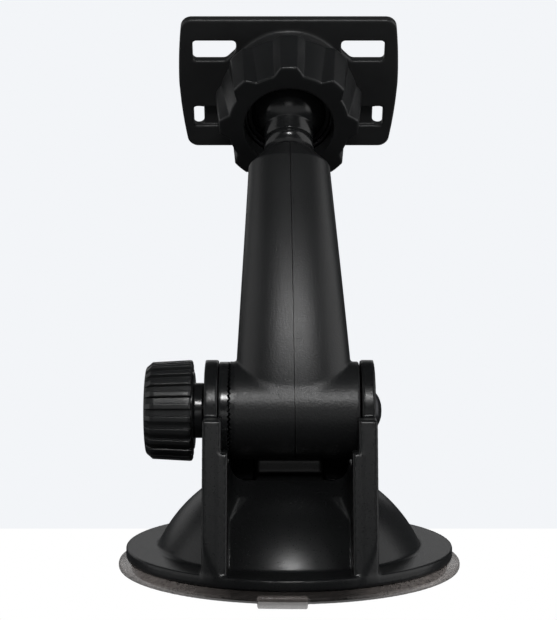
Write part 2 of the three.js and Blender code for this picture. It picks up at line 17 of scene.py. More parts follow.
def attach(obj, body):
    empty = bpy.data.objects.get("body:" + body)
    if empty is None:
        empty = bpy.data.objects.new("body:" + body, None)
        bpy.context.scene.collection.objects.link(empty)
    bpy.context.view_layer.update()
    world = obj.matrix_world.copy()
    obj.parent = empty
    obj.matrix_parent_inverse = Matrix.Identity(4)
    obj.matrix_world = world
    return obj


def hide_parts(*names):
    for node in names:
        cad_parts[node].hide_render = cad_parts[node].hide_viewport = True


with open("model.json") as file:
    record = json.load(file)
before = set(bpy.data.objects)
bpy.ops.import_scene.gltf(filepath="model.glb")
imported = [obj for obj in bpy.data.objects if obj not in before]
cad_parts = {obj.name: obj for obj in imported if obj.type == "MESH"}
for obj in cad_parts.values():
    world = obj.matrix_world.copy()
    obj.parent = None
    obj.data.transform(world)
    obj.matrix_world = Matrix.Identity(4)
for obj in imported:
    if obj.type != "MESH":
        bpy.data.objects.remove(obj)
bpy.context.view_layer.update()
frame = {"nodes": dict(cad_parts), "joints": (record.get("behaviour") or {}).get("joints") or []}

MM = 0.001
joints = {joint["name"]: joint for joint in frame["joints"]}


def joint_point(name):
    """A joint's place in millimetres."""
    return np.array(joints[name]["pos_m"]) / MM


# ---- Driving dimensions, millimetres ------------------------------------------------------------
PAD_RADIUS, PAD_EDGE, PAD_TOP, PAD_FLAT = 34.0, 1.0, 1.9, 10
CUP_RADIUS, CUP_TOP, CUP_BORE, CUP_FLOOR = 9.7, 4.4, 7.4, 1.15
TAB_HALF, TAB_TIP, TAB_ROOT, TAB_TOP, TAB_TURN = 4.5, -37.4, -30, 1.3, math.radians(2.2)
LIP_FOOT, LIP_BACK, LIP_TOP = 0.5, -35.9, 2.2
FLANGE_RADIUS, FLANGE_BOTTOM, FLANGE_TOP = 32.5, 1.95, 4.0
DOME_RADIUS, DOME_CENTRE_Z, DOME_WALL, DOME_CEILING = 28.9, -8.1, 2.3, 9.6
PIVOT = joint_point("arm_tilt")
EAR_RADIUS, EAR_OUTER, EAR_INNER, EAR_RECESS = 9.8, 16.3, 12.8, 13.7
BARREL_RADIUS, BARREL_LEFT, BARREL_RIGHT, BARREL_MIDDLE = 9.5, -11.05, 13.4, 0.95
BOLT_HOLE, BARREL_BORE = 2.65, 4.08
TEETH, TOOTH_HEIGHT, TOOTH_INNER = 60, 0.4, 6.4
ARM_TIP, WASHER_TIP = -11.5, -11.57
BALL = joint_point("ball_roll")
BALL_RADIUS, SHOULDER = 8.5, 13.5
NECK_RADIUS, NECK_STEP, STEP_AT, NECK_FOOT = 5.1, 4.85, 9.3, 5.3
ARM_START_LEAN, ARM_END_LEAN, ARM_HANDLE = math.radians(6), math.radians(34), 18.0
ARM_ROOT, ARM_TOP, ARM_NARROWING, ARM_ROOT_DEPTH, ARM_TOP_DEPTH = 11.8, 8.2, 1.15, 8.9, 6.3
ARM_END_FROM, ARM_END_HALF, ARM_END_DEPTH = 0.935, 5.4, 5.5
HEAD_AXIS = np.array(joints["ball_roll"]["axis"])
LOBES, LOBE_FRONT, LOBE_BACK, COLLAR_FRONT, COLLAR_BACK = 8, 14.3, 15.4, -9.0, 2.5
GROOVE_FRONT, GROOVE_BACK = 1.8, 0.8
PLATE_REAR, PLATE_FRONT, PLATE_TOP, PLATE_BOTTOM = 8.8, 10.8, -15.0, 16.3
PLATE_WAIST, PLATE_CORNER = 23.3, 22.3
SOCKET_MOUTH, SOCKET_FRONT = 8.6, -4.6
LINER_INNER, LINER_OUTER, SOCKET = 8.62, 9.4, 9.6
PIN = joint_point("lever_swing")
SWING, LIFT = math.radians(55), 2.4
KNOB_OUTER, KNOB_RADIUS, KNOB_TAPER, KNOB_RIBS = -27.9, 9.8, 0.4, 24
LEVER_HALF, CHEEK_INNER, CHEEK_OUTER = 12.2, 6.9, 11.5
SADDLE_RADIUS, BARREL_ROOM = 13.3, 10.1
HUB_HALF, HUB_FRONT, HUB_BACK, HUB_FOOT, HUB_TOP = 6.8, -5, 6.2, 11, 22.2
POCKET_INNER, POCKET_OUTER, POCKET_FRONT, POCKET_BACK, POCKET_FLOOR = 6.55, 12.0, -8, 23, 11.7
STEM_BORE, PIN_SLOT_HALF_X, PIN_SLOT_HALF_Y, PIN_SLOT_SPARE = 2.9, 7, 1.7, 1.8
LINING_INNER, LINING_BACK = 11.6, 5
LINING_SLOPE, LINING_TOPS = (-20.6, -18.6), (26, 21.6)


# ---- Fields -------------------------------------------------------------------------------------
def split(points):
    return points[:, 0], points[:, 1], points[:, 2]


def join(a, b, fillet=0.6):
    """Both solids, with a fillet where they meet."""
    h = np.maximum(fillet - np.abs(a - b), 0) / fillet
    return np.minimum(a, b) - h * h * fillet / 4


def common(a, b, round_off=0.5):
    return -join(-a, -b, round_off)


def cut(a, b, round_off=0.5):
    """The first solid without the second, with its new edges rounded."""
    return common(a, -b, round_off)


def rounded(a, b, radius=0.5):
    """The solid inside both a and b, with edges of that radius."""
    outside = np.hypot(np.maximum(a + radius, 0), np.maximum(b + radius, 0))
    return np.minimum(np.maximum(a, b) + radius, 0) + outside - radius


def slab(value, low, high):
    return np.abs(value - (low + high) / 2) - (high - low) / 2


def block(points, low, high, radius=0.4):
    low, high = np.array(low, float), np.array(high, float)
    q = np.abs(points - (low + high) / 2) - (high - low) / 2 + radius
    return np.linalg.norm(np.maximum(q, 0), axis=1) + np.minimum(q.max(axis=1), 0) - radius


def bar_x(points, radius, x0, x1, edge=0.5, centre=PIVOT):
    x, y, z = split(points)
    return rounded(np.hypot(y - centre[1], z - centre[2]) - radius, slab(x, x0, x1), edge)


def disc_z(points, radius, z0, z1, edge=0.4):
    x, y, z = split(points)
    return rounded(np.hypot(x, y) - radius, slab(z, z0, z1), edge)


def polygon(u, v, corners):
    """Distance to a closed outline in a plane, negative inside."""
    best = np.full(u.shape, np.inf)
    sign = np.ones(u.shape)
    for (au, av), (bu, bv) in zip(corners, corners[1:] + corners[:1]):
        eu, ev, wu, wv = bu - au, bv - av, u - au, v - av
        share = np.clip((wu * eu + wv * ev) / (eu * eu + ev * ev), 0, 1)
        best = np.minimum(best, (wu - eu * share) ** 2 + (wv - ev * share) ** 2)
        above, below, left = v >= av, v < bv, eu * wv > ev * wu
        sign = np.where((above & below & left) | (~above & ~below & ~left), -sign, sign)
    return sign * np.sqrt(best)


# ---- Meshes -------------------------------------------------------------------------------------
def add_mesh(name, points, faces, body, slot, replaces=(), material=None):
    """A smooth mesh from points in millimetres, riding on its body."""
    mesh = bpy.data.meshes.new(name)
    mesh.from_pydata((np.asarray(points) * MM).tolist(), [], [list(f) for f in faces])
    mesh.validate()
    mesh.shade_smooth()
    piece = bpy.data.objects.new(name, mesh)
    bpy.context.scene.collection.objects.link(piece)
    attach(piece, body)
    if replaces:
        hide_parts(*replaces)
    piece.data.materials.append(material)
    return piece


def skin(field, low, high, cell):
    """Points and square faces over the field's surface: one point in each cell that the surface crosses."""
    axes = [np.arange(a - 1.5 * cell, b + 2.5 * cell, cell) for a, b in zip(low, high)]
    shape = tuple(len(a) for a in axes)
    grid = np.stack(np.meshgrid(*axes, indexing="ij"), -1).reshape(-1, 3)
    value = np.concatenate([field(part) for part in np.array_split(grid, 8)]).reshape(shape)
    inside = value < 0
    cells = tuple(n - 1 for n in shape)
    total, count = np.zeros(cells + (3,)), np.zeros(cells, np.int32)
    crossings = []
    for axis in range(3):
        a = [slice(None)] * 3
        b = [slice(None)] * 3
        a[axis], b[axis] = slice(0, -1), slice(1, None)
        first, second = value[tuple(a)], value[tuple(b)]
        crossed = inside[tuple(a)] != inside[tuple(b)]
        where = np.argwhere(crossed)
        share = (first / np.where(crossed, first - second, 1))[crossed]
        place = np.stack([axes[k][where[:, k]] for k in range(3)], 1)
        place[:, axis] += share * cell
        crossings.append((axis, where, inside[tuple(a)][crossed]))
        around = [k for k in range(3) if k != axis]
        for du in (0, 1):
            for dv in (0, 1):
                target = where.copy()
                target[:, around[0]] -= du
                target[:, around[1]] -= dv
                keep = (target >= 0).all(1) & (target < np.array(cells)).all(1)
                index = tuple(target[keep].T)
                np.add.at(total, index, place[keep])
                np.add.at(count, index, 1)
    number = np.full(cells, -1)
    used = count > 0
    number[used] = np.arange(used.sum())
    points = total[used] / count[used][:, None]
    faces = []
    for axis, where, starts_inside in crossings:
        u, v = [(1, 2), (2, 0), (0, 1)][axis]
        corners = []
        for du, dv in ((1, 1), (0, 1), (0, 0), (1, 0)):
            target = where.copy()
            target[:, u] -= du
            target[:, v] -= dv
            corners.append(number[tuple(target.T)])
        quads = np.stack(corners, 1)
        quads[~starts_inside] = quads[~starts_inside][:, ::-1]
        faces.append(quads)
    return settle(field, points, cell), np.concatenate(faces)


def settle(field, points, cell, rounds=3):
    """Moves points onto the field's surface along its slope."""
    step = 0.1 * cell
    offsets = np.eye(3) * step
    for _ in range(rounds):
        slope = np.stack([(field(points + d) - field(points - d)) / (2 * step) for d in offsets], 1)
        size = np.maximum((slope**2).sum(1), 0.05)
        move = slope * (field(points) / size)[:, None]
        length = np.maximum(np.linalg.norm(move, axis=1), 1e-9)
        points = points - move * np.minimum(1, 0.5 * cell / length)[:, None]
    return points


def add_field(name, field, low, high, cell, body, slot, replaces=(), material=None, place=None):
    points, faces = skin(field, low, high, cell)
    if place is not None:
        points = place(points)
    return add_mesh(name, points, faces, body, slot, replaces, material)


def softened(profile, radius=0.3, steps=4):
    """A profile with its inner corners rounded by small arcs."""
    result = [profile[0]]
    for before, corner, after in zip(profile, profile[1:], profile[2:]):
        before, corner, after = (np.array(p, float) for p in (before, corner, after))
        to_before, to_after = before - corner, after - corner
        reach = min(radius, 0.45 * np.linalg.norm(to_before), 0.45 * np.linalg.norm(to_after))
        start = corner + to_before / np.linalg.norm(to_before) * reach
        end = corner + to_after / np.linalg.norm(to_after) * reach
        for k in range(steps + 1):
            t = k / steps
            result.append(tuple((1 - t) ** 2 * start + 2 * t * (1 - t) * corner + t * t * end))
    result.append(profile[-1])
    return result


def turned(profile, segments=160):
    """Points and faces of a piece turned about Z from (radius, z) pairs that start and end on the axis,
    or, for a ring, close on themselves."""
    ring = profile[0] == profile[-1]
    profile = profile[:-1] if ring else profile
    points, rows = [], []
    for radius, z in profile:
        if radius < 1e-6:
            rows.append([len(points)] * segments)
            points.append((0, 0, z))
            continue
        rows.append(list(range(len(points), len(points) + segments)))
        angles = np.arange(segments) * 2 * math.pi / segments
        points += [(radius * math.cos(a), radius * math.sin(a), z) for a in angles]
    faces = []
    pairs = list(zip(rows, rows[1:])) + ([(rows[-1], rows[0])] if ring else [])
    for low, high in pairs:
        for i in range(segments):
            j = (i + 1) % segments
            corners = list(dict.fromkeys([low[i], low[j], high[j], high[i]]))
            if len(corners) > 2:
                faces.append(corners)
    return np.array(points, float), faces


def along_x(points, centre=PIVOT):
    """Turns a piece drawn about Z so that it lies along X through the pivot."""
    return np.stack([points[:, 2], points[:, 0] + centre[1], points[:, 1] + centre[2]], 1)


def banded(rings, closed_ends=True):
    """Points and faces of a skin through rings that have the same number of points."""
    count = len(rings[0])
    points = np.concatenate([np.asarray(r, float) for r in rings])
    faces = []
    for r in range(len(rings) - 1):
        for i in range(count):
            j = (i + 1) % count
            faces.append((r * count + i, r * count + j, (r + 1) * count + j, (r + 1) * count + i))
    if closed_ends:
        last = (len(rings) - 1) * count
        faces.append(tuple(range(count))[::-1])
        faces.append(tuple(range(last, last + count)))
    return points, faces


def outward(piece):
    """Faces of a mesh all turned outwards."""
    work = bmesh.new()
    work.from_mesh(piece.data)
    bmesh.ops.recalc_face_normals(work, faces=work.faces)
    work.to_mesh(piece.data)
    work.free()
    return piece


# ---- Materials ----------------------------------------------------------------------------------
def node_material(name):
    material = bpy.data.materials.new(name)
    material.use_nodes = True
    nodes, links = material.node_tree.nodes, material.node_tree.links
    shader = nodes["Principled BSDF"]
    place = nodes.new("ShaderNodeTexCoord").outputs["Object"]
    return material, nodes, links, shader, place


def noise(nodes, links, place, scale, detail=2.0, rough=0.5):
    node = nodes.new("ShaderNodeTexNoise")
    node.inputs["Scale"].default_value = scale
    node.inputs["Detail"].default_value = detail
    node.inputs["Roughness"].default_value = rough
    links.new(place, node.inputs["Vector"])
    return node.outputs["Fac"]


def spread(nodes, links, value, low, high, start=0.3, end=0.7):
    """A value from start to end stretched to low..high."""
    node = nodes.new("ShaderNodeMapRange")
    node.inputs["From Min"].default_value = start
    node.inputs["From Max"].default_value = end
    node.inputs["To Min"].default_value = low
    node.inputs["To Max"].default_value = high
    links.new(value, node.inputs["Value"])
    return node.outputs["Result"]


def tint(nodes, links, value, dark, light):
    node = nodes.new("ShaderNodeValToRGB")
    node.color_ramp.elements[0].color = (*dark, 1)
    node.color_ramp.elements[1].color = (*light, 1)
    node.color_ramp.elements[0].position = 0.3
    node.color_ramp.elements[1].position = 0.7
    links.new(value, node.inputs["Fac"])
    return node.outputs["Color"]


def moulded_plastic(name, colour, roughness, grain_mm, grain_depth_mm, vary=0.05, specular=0.5):
    """Moulded plastic: slow colour and gloss drift under a fine spark grain."""
    material, nodes, links, shader, place = node_material(name)
    drift = noise(nodes, links, place, 90, 3)
    grain = noise(nodes, links, place, 1 / (grain_mm * MM), 3, 0.6)
    dark = tuple(c * 0.85 for c in colour)
    light = tuple(c * 1.2 for c in colour)
    links.new(tint(nodes, links, drift, dark, light), shader.inputs["Base Color"])
    gloss = spread(nodes, links, grain, roughness - vary, roughness + vary)
    links.new(gloss, shader.inputs["Roughness"])
    bump = nodes.new("ShaderNodeBump")
    bump.inputs["Strength"].default_value = 0.6
    bump.inputs["Distance"].default_value = grain_depth_mm * MM
    links.new(grain, bump.inputs["Height"])
    links.new(bump.outputs["Normal"], shader.inputs["Normal"])
    shader.inputs["Specular IOR Level"].default_value = specular
    return material


def clear_plastic(name):
    """Soft clear plastic with a grey-brown cast, with painted shade that darkens its middle and painted light
    that makes its sides and its tab lighter.
    """
    material, nodes, links, shader, place = node_material(name)
    haze = noise(nodes, links, place, 1100, 4, 0.7)
    links.new(spread(nodes, links, haze, 0.16, 0.26), shader.inputs["Roughness"])
    apart = nodes.new("ShaderNodeSeparateXYZ")
    links.new(place, apart.inputs["Vector"])
    side = nodes.new("ShaderNodeMath")
    side.operation = "ABSOLUTE"
    links.new(apart.outputs["X"], side.inputs[0])
    # Painted shade and light: the colour is darkened in the middle and lightened towards the sides by |X| and
    # over the tab by Y.
    painted_light_and_shade = nodes.new("ShaderNodeMath")
    painted_light_and_shade.operation = "MAXIMUM"
    links.new(spread(nodes, links, side.outputs["Value"], 0.2, 1.6, 0.010, 0.026), painted_light_and_shade.inputs[0])
    links.new(spread(nodes, links, apart.outputs["Y"], 1.3, 0.2, -0.036, -0.0338), painted_light_and_shade.inputs[1])
    shade = nodes.new("ShaderNodeVectorMath")
    shade.operation = "SCALE"
    links.new(tint(nodes, links, haze, (0.11, 0.099, 0.093), (0.26, 0.23, 0.215)), shade.inputs[0])
    links.new(painted_light_and_shade.outputs["Value"], shade.inputs["Scale"])
    links.new(shade.outputs["Vector"], shader.inputs["Base Color"])
    reach = spread(nodes, links, apart.outputs["Y"], 0.5, 0.72, -0.036, -0.0335)
    links.new(reach, shader.inputs["Alpha"])
    shader.inputs["IOR"].default_value = 1.49
    return material


def brushed_metal(name, colour, roughness):
    material, nodes, links, shader, place = node_material(name)
    wear = noise(nodes, links, place, 700, 4)
    dark = tuple(c * 0.8 for c in colour)
    links.new(tint(nodes, links, wear, dark, colour), shader.inputs["Base Color"])
    links.new(spread(nodes, links, wear, roughness - 0.08, roughness + 0.08), shader.inputs["Roughness"])
    shader.inputs["Metallic"].default_value = 1.0
    return material


BLACK = (0.0125, 0.013, 0.0135)
SHELL_BLACK, PLATE_BLACK = (0.0095, 0.01, 0.0105), (0.024, 0.0245, 0.025)
SHELL = moulded_plastic("shell_plastic", SHELL_BLACK, 0.31, 0.28, 0.014, specular=0.38)
PLATE_LOOK = moulded_plastic("plate_plastic", PLATE_BLACK, 0.42, 0.28, 0.010)
ARM = moulded_plastic("arm_plastic", BLACK, 0.38, 0.36, 0.07)
COLLAR = moulded_plastic("collar_plastic", BLACK, 0.36, 0.3, 0.010)
KNOB = moulded_plastic("knob_plastic", (0.019, 0.0195, 0.02), 0.34, 0.25, 0.03)
GLOSS = moulded_plastic("gloss_plastic", BLACK, 0.20, 0.5, 0.004)
LINER = moulded_plastic("liner_plastic", (0.02, 0.02, 0.021), 0.35, 0.4, 0.004)
NATURAL = moulded_plastic("natural_plastic", (0.7, 0.68, 0.62), 0.4, 0.4, 0.004)
CLEAR = clear_plastic("clear_soft_plastic")
DARK_STEEL = brushed_metal("dark_steel", (0.08, 0.08, 0.085), 0.35)
STEEL = brushed_metal("plain_steel", (0.55, 0.55, 0.56), 0.3)
BRASS = brushed_metal("plain_brass", (0.65, 0.48, 0.22), 0.32)


# ---- Suction pad --------------------------------------------------------------------------------
def pad_field(points):
    x, y, z = split(points)
    reach = np.hypot(x, y)
    top = np.interp(reach, [PAD_FLAT, FLANGE_RADIUS - 0.5, PAD_RADIUS], [PAD_TOP, PAD_TOP, PAD_EDGE])
    disc = rounded(reach - PAD_RADIUS, np.maximum(z - top, -z), 0.25)
    cup = disc_z(points, CUP_RADIUS, 0.3, CUP_TOP, 0.3)
    along = points @ np.array(Matrix.Rotation(TAB_TURN, 3, "Z")).T
    tab = block(along, (-TAB_HALF, TAB_TIP, 0), (TAB_HALF, TAB_ROOT, TAB_TOP), 0.3)
    lip = block(along, (-TAB_HALF, TAB_TIP, LIP_FOOT), (TAB_HALF, LIP_BACK, LIP_TOP), 0.3)
    solid = join(join(disc, cup, 0.8), join(tab, lip, 0.1), 0.6)
    ribs = np.minimum(slab(along[:, 0], -4.1, -3.5), slab(along[:, 0], 3.5, 4.1))
    rib = np.maximum(ribs, np.maximum(slab(along[:, 1], -36.4, -34.2), slab(z, 0.9, 1.9)))
    solid = join(solid, rib, 0.3)
    return cut(solid, disc_z(points, CUP_BORE, CUP_FLOOR, 6, 0.3), 0.3)


def grounded(points):
    return np.maximum(points, [-np.inf, -np.inf, 0])


def make_pad():
    add_field("pad_soft", pad_field, (-34.2, -37.8, 0), (34.2, 34.2, 4.5), 0.33, "base", "clear_pad",
              ["suction_pad"], CLEAR, grounded)


# ---- Base shell ---------------------------------------------------------------------------------
EAR_FRONT_FOOT, EAR_FRONT_TOP = -29.6, -22.8
EAR_OUTLINE = [
    (EAR_FRONT_FOOT, FLANGE_BOTTOM + 0.4),
    (17.0, FLANGE_BOTTOM + 0.4),
    (13.8, 15.0),
    (7.3, 20.0),
    (3.0, 27.0),
    (PIVOT[1] + EAR_RADIUS, PIVOT[2]),
    (EAR_FRONT_TOP, PIVOT[2]),
    (EAR_FRONT_FOOT, FLANGE_TOP),
]


def base_field(points):
    x, y, z = split(points)
    side = np.abs(x)
    reach = np.hypot(x, y)
    pivot_reach = np.hypot(y - PIVOT[1], z - PIVOT[2])
    flange = disc_z(points, FLANGE_RADIUS, FLANGE_BOTTOM, FLANGE_TOP, 0.3)
    dome = np.maximum(np.sqrt(reach**2 + (z - DOME_CENTRE_Z) ** 2) - DOME_RADIUS, FLANGE_BOTTOM + 0.6 - z)
    saddle = rounded(pivot_reach - SADDLE_RADIUS, side - EAR_INNER, 0.3)
    dome = cut(dome, saddle, 1.2)
    pocket = np.maximum(slab(y, POCKET_FRONT, POCKET_BACK), POCKET_FLOOR - z)
    pocket = np.maximum(slab(side, POCKET_INNER, POCKET_OUTER), pocket)
    dome = cut(dome, pocket, 0.6)
    hub = block(points, (-HUB_HALF, HUB_FRONT, HUB_FOOT), (HUB_HALF, HUB_BACK, HUB_TOP), 0.8)
    hub = cut(hub, pivot_reach - BARREL_ROOM, 0.6)
    outline = join(polygon(y, z, EAR_OUTLINE), pivot_reach - EAR_RADIUS, 0.4)
    ear = rounded(outline, slab(side, EAR_INNER, EAR_OUTER), 0.3)
    ear = common(ear, reach - FLANGE_RADIUS, 0.4)
    recess = rounded(pivot_reach - EAR_RADIUS - 0.4, side - EAR_RECESS, 0.3)
    ear = cut(ear, recess, 0.3)
    lining_top = np.interp(y, LINING_SLOPE, LINING_TOPS)
    low = common(outline, np.maximum((z - lining_top) * 0.5, y - LINING_BACK), 0.3)
    lining = rounded(low, slab(side, LINING_INNER, EAR_INNER + 0.6), 0.2)
    lining = common(lining, reach - FLANGE_RADIUS, 0.4)
    solid = join(join(flange, dome, 0.5), hub, 0.6)
    inside = np.interp(side, [EAR_INNER - 0.3, EAR_INNER + 1.2], [1, 0])
    # The fillet at the foot of each wall grows in front of the lever's cheeks and all but ends at them.
    ahead = np.interp(y, [-9, -6], [1, 0])
    fillet = 0.05 + 0.35 * ahead + 5.0 * inside * np.interp(z, [12, 16], [0, 1]) * ahead
    solid = join(solid, join(ear, lining, 0.2), fillet)
    inner = np.sqrt(reach**2 + (z - DOME_CENTRE_Z) ** 2) - (DOME_RADIUS - DOME_WALL)
    solid = cut(solid, np.maximum(inner, z - DOME_CEILING), 0.4)
    solid = cut(solid, rounded(reach - STEM_BORE, slab(z, 7, 27), 0.2), 0.4)
    slot = block(points, (-PIN_SLOT_HALF_X, -PIN_SLOT_HALF_Y, PIN[2] - PIN_SLOT_SPARE),
                 (PIN_SLOT_HALF_X, PIN_SLOT_HALF_Y, PIN[2] + LIFT + PIN_SLOT_SPARE), 0.3)
    solid = cut(solid, slot, 0.3)
    return cut(solid, pivot_reach - BOLT_HOLE, 0.3)


def make_base():
    add_field("base_moulding", base_field, (-32.6, -32.6, 1.9), (32.6, 32.6, 41.7), 0.42, "base",
              "black_shell", ["base_shell"], SHELL)


# ---- Pivot pieces -------------------------------------------------------------------------------
def toothed(inner, outer, back, tip):
    """Points and faces of a ring of radial V teeth about X, between back and tip."""
    root = tip - TOOTH_HEIGHT * np.sign(tip - back)
    half_pitch = 2 if tip > back else 0
    count = TEETH * 4
    rings = []
    for radius, x_of in ((inner, None), (outer, None), (outer, 1), (inner, 1)):
        ring = []
        for i in range(count):
            a = i * 2 * math.pi / count
            wave = abs(((i + half_pitch) % 4) / 2 - 1)
            x = back if x_of is None else root + (tip - root) * (0.06 + 0.88 * wave)
            ring.append((x, PIVOT[1] + radius * math.cos(a), PIVOT[2] + radius * math.sin(a)))
        rings.append(ring)
    rings.append(rings[0])
    points = np.concatenate([np.array(r) for r in rings[:4]])
    faces = []
    for r in range(4):
        for i in range(count):
            j = (i + 1) % count
            low, high = r * count, ((r + 1) % 4) * count
            faces.append((low + i, low + j, high + j, high + i))
    return points, faces


# The bolt's outline along its axis: domed head, shank and chamfered end.
BOLT_PROFILE = [(0, 17.9), (1.3, 17.8), (2.5, 17.4), (3.3, 16.9), (3.6, 16.35), (2.4, 16.3), (2.4, -23.6),
                (1.9, -24.1), (0, -24.1)]


def make_pivot():
    outer = BARREL_RADIUS - 0.05
    disc = [(BOLT_HOLE, -13.55), (outer, -13.55), (outer, -12.25), (BOLT_HOLE, -12.25), (BOLT_HOLE, -13.55)]
    points, faces = turned(softened(disc[:1] + disc[1:4], 0.25) + disc[:1])
    washer = add_mesh("washer_disc", along_x(points), faces, "base", "gloss_black", ["ratchet_washer"], GLOSS)
    outward(washer)
    teeth = add_mesh("washer_teeth", *toothed(TOOTH_INNER, outer, -12.6, WASHER_TIP), "base", "gloss_black",
                     (), GLOSS)
    sharp(outward(teeth))
    ring = add_mesh("arm_teeth", *toothed(TOOTH_INNER, BARREL_RADIUS, BARREL_LEFT + 0.6, ARM_TIP), "arm",
                    "black_arm", (), SHELL)
    sharp(outward(ring))
    points, faces = turned(softened(BOLT_PROFILE, 0.4), 96)
    outward(add_mesh("bolt_turned", along_x(points), faces, "base", "dark_steel", ["pivot_bolt"], DARK_STEEL))


def sharp(piece, degrees=40):
    """Keeps edges steeper than the angle crisp."""
    piece.data.set_sharp_from_angle(angle=math.radians(degrees))
    return piece


RIB_PHASES = (-0.27, -0.25, -0.235, -0.22, -0.19, -0.1, 0, 0.1, 0.19, 0.22, 0.235, 0.25, 0.27, 0.38,
              0.5, 0.62)
RIB_DEPTHS = (1, 0.75, 0.3, 0.08, 0, 0, 0, 0, 0, 0.08, 0.3, 0.75, 1, 1, 1, 1)
RIB_START = math.radians(3)
NUT_POCKET, POCKET_END, BORE_END, GRIP_LENGTH = 4.75, 7.1, 3.4, 9.2
BOSS_PROFILE = [(NUT_POCKET, -19.5), (7.5, -19.5), (7.5, -18.4), (5.35, -18.4), (5.35, -16.65),
                (NUT_POCKET, -16.65)]


def knob_ring(radius, depth, x):
    """One ring of the knob's outline: flat-topped ribs between wider flat grooves."""
    ring = []
    for i in range(KNOB_RIBS):
        for phase, share in zip(RIB_PHASES, RIB_DEPTHS):
            angle = RIB_START + (i + phase) * 2 * math.pi / KNOB_RIBS
            r = radius - depth * share
            ring.append((x, PIVOT[1] + r * math.cos(angle), PIVOT[2] + r * math.sin(angle)))
    return ring


def make_knob():
    """The grip as (radius, share of the groove's depth, distance from the outer end) rows, with the
    nut's pocket and the bolt's bore, and the boss beside it."""
    end = KNOB_RADIUS - KNOB_TAPER
    rows = [(1.2, 0, 0.0), (end - 3.2, 0, 0.03), (end - 1.7, 0, 0.1), (end - 1.2, 0, 0.17)]
    rows += [(end - 0.95, 0.08, 0.3), (end - 0.5, 0.4, 0.85), (end - 0.14, 0.68, 1.25)]
    rows += [(end + KNOB_TAPER * k / 8, 0.75, 1.4 + 7.2 * k / 8) for k in range(9)]
    rows += [(KNOB_RADIUS - 0.1, 0.7, 9.0), (KNOB_RADIUS - 0.4, 0.5, 9.15), (6, 0, GRIP_LENGTH)]
    rows += [(NUT_POCKET, 0, GRIP_LENGTH), (NUT_POCKET, 0, POCKET_END)]
    rows += [(BOLT_HOLE, 0, POCKET_END), (BOLT_HOLE, 0, BORE_END)]
    rings = [knob_ring(radius, depth, KNOB_OUTER + x) for radius, depth, x in rows]
    knob = outward(add_mesh("knob_grip", *banded(rings), "knob", "knob_black", ["clamp_knob"], KNOB))
    sharp(knob, 50)
    points, faces = turned(softened(BOSS_PROFILE, 0.3) + BOSS_PROFILE[:1], 128)
    outward(add_mesh("knob_boss", along_x(points), faces, "knob", "gloss_black", (), GLOSS))


# ---- Arm ----------------------------------------------------------------------------------------
END = np.array([math.sin(ARM_END_LEAN), math.cos(ARM_END_LEAN)])
START = np.array([math.sin(ARM_START_LEAN), math.cos(ARM_START_LEAN)])
SHOULDER_AT = BALL[1:] - SHOULDER * END
CURVE = [PIVOT[1:], PIVOT[1:] + ARM_HANDLE * START, SHOULDER_AT - ARM_HANDLE * END, SHOULDER_AT]


def curve_at(t):
    """The arm's middle line and its first two derivatives at t."""
    p0, p1, p2, p3 = CURVE
    t = t[:, None]
    s = 1 - t
    place = s**3 * p0 + 3 * s**2 * t * p1 + 3 * s * t**2 * p2 + t**3 * p3
    slope = 3 * s**2 * (p1 - p0) + 6 * s * t * (p2 - p1) + 3 * t**2 * (p3 - p2)
    bend = 6 * s * (p2 - 2 * p1 + p0) + 6 * t * (p3 - 2 * p2 + p1)
    return place, slope, bend


def arm_share(points):
    """How far along the arm each point's nearest place on the middle line is."""
    flat = points[:, 1:]
    chord = CURVE[3] - CURVE[0]
    t = np.clip(((flat - CURVE[0]) @ chord) / (chord @ chord), -0.2, 1.2)
    for _ in range(5):
        place, slope, bend = curve_at(t)
        gap = flat - place
        top = (gap * slope).sum(1)
        bottom = (slope * slope).sum(1) - (gap * bend).sum(1)
        t = np.clip(t + top / np.maximum(bottom, 50), -0.2, 1.2)
    return t


def stud_reach(points):
    """Distance along and off the ball stud's axis, from the ball's centre down into the arm."""
    offset = points - BALL
    along = -(offset[:, 1] * END[0] + offset[:, 2] * END[1])
    across = offset[:, 1] * END[1] - offset[:, 2] * END[0]
    return along, np.hypot(offset[:, 0], across)


def arm_field(points):
    x, y, z = split(points)
    t = arm_share(points)
    place, slope, _ = curve_at(t)
    direction = slope / np.linalg.norm(slope, axis=1)[:, None]
    gap = points[:, 1:] - place
    out = gap[:, 0] * direction[:, 1] - gap[:, 1] * direction[:, 0]
    share = np.clip(t, 0, 1)
    narrow = np.clip((share - ARM_END_FROM) / (1 - ARM_END_FROM), 0, 1)
    half = ARM_TOP + (ARM_ROOT - ARM_TOP) * (1 - share) ** ARM_NARROWING
    half += (ARM_END_HALF - half) * narrow
    depth = ARM_ROOT_DEPTH + (ARM_TOP_DEPTH - ARM_ROOT_DEPTH) * share
    depth += (ARM_END_DEPTH - depth) * narrow
    power = 2.7 - 0.2 * share - 0.5 * narrow
    across = np.abs((x - BARREL_MIDDLE * (1 - t)) / half)
    tube = ((across**power + np.abs(out / depth) ** power) ** (1 / power) - 1) * np.minimum(half, depth)
    along, reach = stud_reach(points)
    tube = common(tube, SHOULDER - along, 0.3)
    tube = np.maximum(tube, PIVOT[2] + 2 - z)
    barrel = bar_x(points, BARREL_RADIUS, BARREL_LEFT, BARREL_RIGHT, 0.35)
    solid = join(tube, barrel, 0.45)
    solid = cut(solid, np.hypot(y - PIVOT[1], z - PIVOT[2]) - BARREL_BORE, 0.3)
    return cut(solid, rounded(reach - 3.7, slab(along, SHOULDER - 2, 25), 0.2), 0.3)


